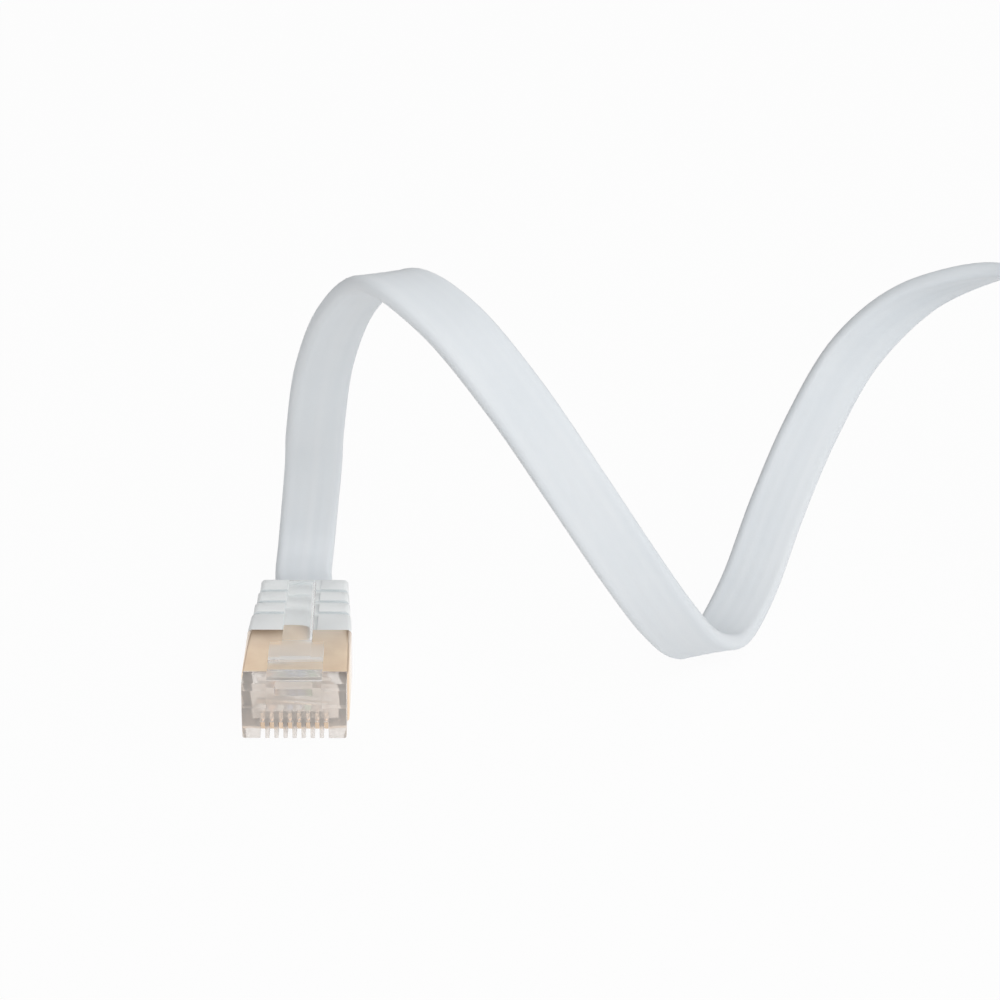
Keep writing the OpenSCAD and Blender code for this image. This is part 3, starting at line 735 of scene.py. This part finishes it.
def clear_latches():
    """Material of each end's latch. They differ only in where their ground part lies."""
    way = far_way()
    far_nose = tail_point(TAIL_TURN) + (FAR_GAP + PLUG_LENGTH) * way
    near_frost = (Vector((0, NOSE_Y, 0)), Vector((0, 1, 0)), FROST_START, FROST_END)
    far_frost = (far_nose, -way, FROST_START, FROST_END)
    return {"": clear_plastic("clear_latch", LATCH_CLEARNESS, LATCH_TINTS, near_frost),
            "far_": clear_plastic("far_clear_latch", LATCH_CLEARNESS, LATCH_TINTS, far_frost)}


def finish_plugs():
    """Finish both plugs' CAD nodes."""
    latches = clear_latches()
    materials = {
        "plug_housing": clear_plastic("clear_plastic", HOUSING_CLEARNESS, HOUSING_TINTS),
        "shield": plated_shell(),
        "boot": boot_white(),
        "load_bar": natural_plastic(),
    }
    gold = gold_contact()
    wires = [wire_skin(name, *tints) for name, tints in WIRE_TINTS.items()]
    for end in ("", "far_"):
        for part, material in materials.items():
            finish_node(end + part, material, SOFT_EDGES[part])
        finish_node(end + "latch", latches[end], SOFT_EDGES["latch"])
        for number, skin in enumerate(wires, start=1):
            finish_node(f"{end}contact_{number}", gold, SOFT_EDGES["contact"], plating=PLATING)
            finish_node(f"{end}wire_{number}", skin, SOFT_EDGES["wire"], WIRE_SHARP_ANGLE)


# ---- Room ----

FLOOR_SIZE = 6
FLOOR_GLOW = 0.94  # share of the floor's look that is plain white

# Strength of the soft light from the left, from the middle and from the right
SIDE_LIGHT = (0.22, 0.68, 0.9)
FADE_UPWARDS = -0.08
# What gloss mirrors at rising levels: a dark horizon, then pale grey
MIRRORED = (
    (0.545, (0.1, 0.07, 0.05)),
    (0.6, (0.55, 0.53, 0.51)),
    (0.68, (0.78, 0.78, 0.78)),
)

LAMP_PLACE = (0.26, -0.7, 0.5)
LAMP_AIM = (0.04, 0.01, 0.02)
LAMP_SIZE = 0.9
LAMP_POWER = 2.6


def grey(value):
    """Neutral colour of one value."""
    return (value, value, value)


def lay_floor():
    """Pale floor that looks white and keeps a faint shadow."""
    clear_selection()
    bpy.ops.mesh.primitive_plane_add(size=FLOOR_SIZE)
    floor = bpy.context.object
    floor.name = floor.data.name = "floor"
    bpy.ops.object.mode_set(mode="EDIT")
    bpy.ops.mesh.subdivide(number_cuts=7)
    bpy.ops.object.mode_set(mode="OBJECT")
    material, tree, surface = new_material("floor_white")
    grain = use(tree, MOULD_GRAIN, Place=object_place(tree), Grain_per_metre=400.0,
                Mottle_per_metre=2.0)
    colour = shades(tree, grain["Mottle"], (0.3, grey(0.92)), (0.7, grey(0.94)))
    dress(tree, surface, grain["Height"], 0.00001, Base_Color=colour, Roughness=0.9)
    seen = put(tree, "LightPath").outputs
    looked_at = reckon(tree, "MAXIMUM", seen["Is Camera Ray"],
                       reckon(tree, "MAXIMUM", seen["Is Glossy Ray"],
                              seen["Is Transmission Ray"]))
    glow = put(tree, "Emission", {"Color": (1, 1, 1, 1), "Strength": 1.0})
    mixed = put(tree, "MixShader", {0: reckon(tree, "MULTIPLY", looked_at, FLOOR_GLOW),
                                    1: surface.outputs[0], 2: glow.outputs[0]})
    tree.links.new(mixed.outputs[0], tree.nodes["Material Output"].inputs["Surface"])
    floor.data.materials.append(material)


def surround():
    """Pale surroundings that are white to the eye and through clear plastic. They light the
    object more from its right, and gloss mirrors them with a dark horizon."""
    world = bpy.data.worlds.new("room")
    bpy.context.scene.world = world
    world.use_nodes = True
    tree = world.node_tree
    output = tree.nodes["World Output"]
    soft = tree.nodes["Background"]
    way = put(tree, "SeparateXYZ", {0: put(tree, "TexCoord").outputs["Generated"]}).outputs
    level = reckon(tree, "MULTIPLY_ADD", way["Z"], 0.5, 0.5)
    across = reckon(tree, "MULTIPLY_ADD", way["X"], 0.5, 0.5)
    left, middle, right = (grey(value) for value in SIDE_LIGHT)
    sideways = shades(tree, across, (0, left), (0.5, middle), (1, right))
    strength = reckon(tree, "MULTIPLY_ADD", way["Z"], FADE_UPWARDS, sideways)
    soft.inputs["Color"].default_value = (1, 1, 1, 1)
    tree.links.new(strength, soft.inputs["Strength"])
    tone = shades(tree, level, *MIRRORED)
    mirrored = put(tree, "Background", {"Color": tone, "Strength": 1.0})
    white = put(tree, "Background", {"Color": (1, 1, 1, 1), "Strength": 1.0})
    seen = put(tree, "LightPath").outputs
    shiny = put(tree, "MixShader", {0: seen["Is Glossy Ray"], 1: soft.outputs[0],
                                    2: mirrored.outputs[0]})
    direct = reckon(tree, "MAXIMUM", seen["Is Camera Ray"], seen["Is Transmission Ray"])
    whole = put(tree, "MixShader", {0: direct, 1: shiny.outputs[0], 2: white.outputs[0]})
    tree.links.new(whole.outputs[0], output.inputs["Surface"])


def hang_lamp():
    """One broad lamp above, in front and to the right, aimed at the arches."""
    bpy.ops.object.light_add(type="AREA", location=LAMP_PLACE)
    lamp = bpy.context.object
    lamp.name = "overhead"
    lamp.data.shape = "DISK"
    lamp.data.size = LAMP_SIZE
    lamp.data.energy = LAMP_POWER
    aim = Vector(LAMP_AIM) - lamp.location
    lamp.rotation_euler = aim.to_track_quat("-Z", "Y").to_euler()


# ---- Main ----

place_camera()
jacket, centres = flat_jacket()
strap, strap_angle, strap_radius = coil_strap()
strap_turn = math.radians(strap_angle)
outwards = Vector((math.cos(strap_turn), math.sin(strap_turn), 0))
settle(strap, COIL_CENTRE + strap_radius * outwards, strap_turn)
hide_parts("coil_tie")
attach(strap, "cable")
jacket.data.materials.append(jacket_white())
strap.data.materials.append(strap_weave(strap_turn))
finish_plugs()

lay_floor()
surround()
hang_lamp()
bpy.context.scene.view_settings.view_transform = "Standard"
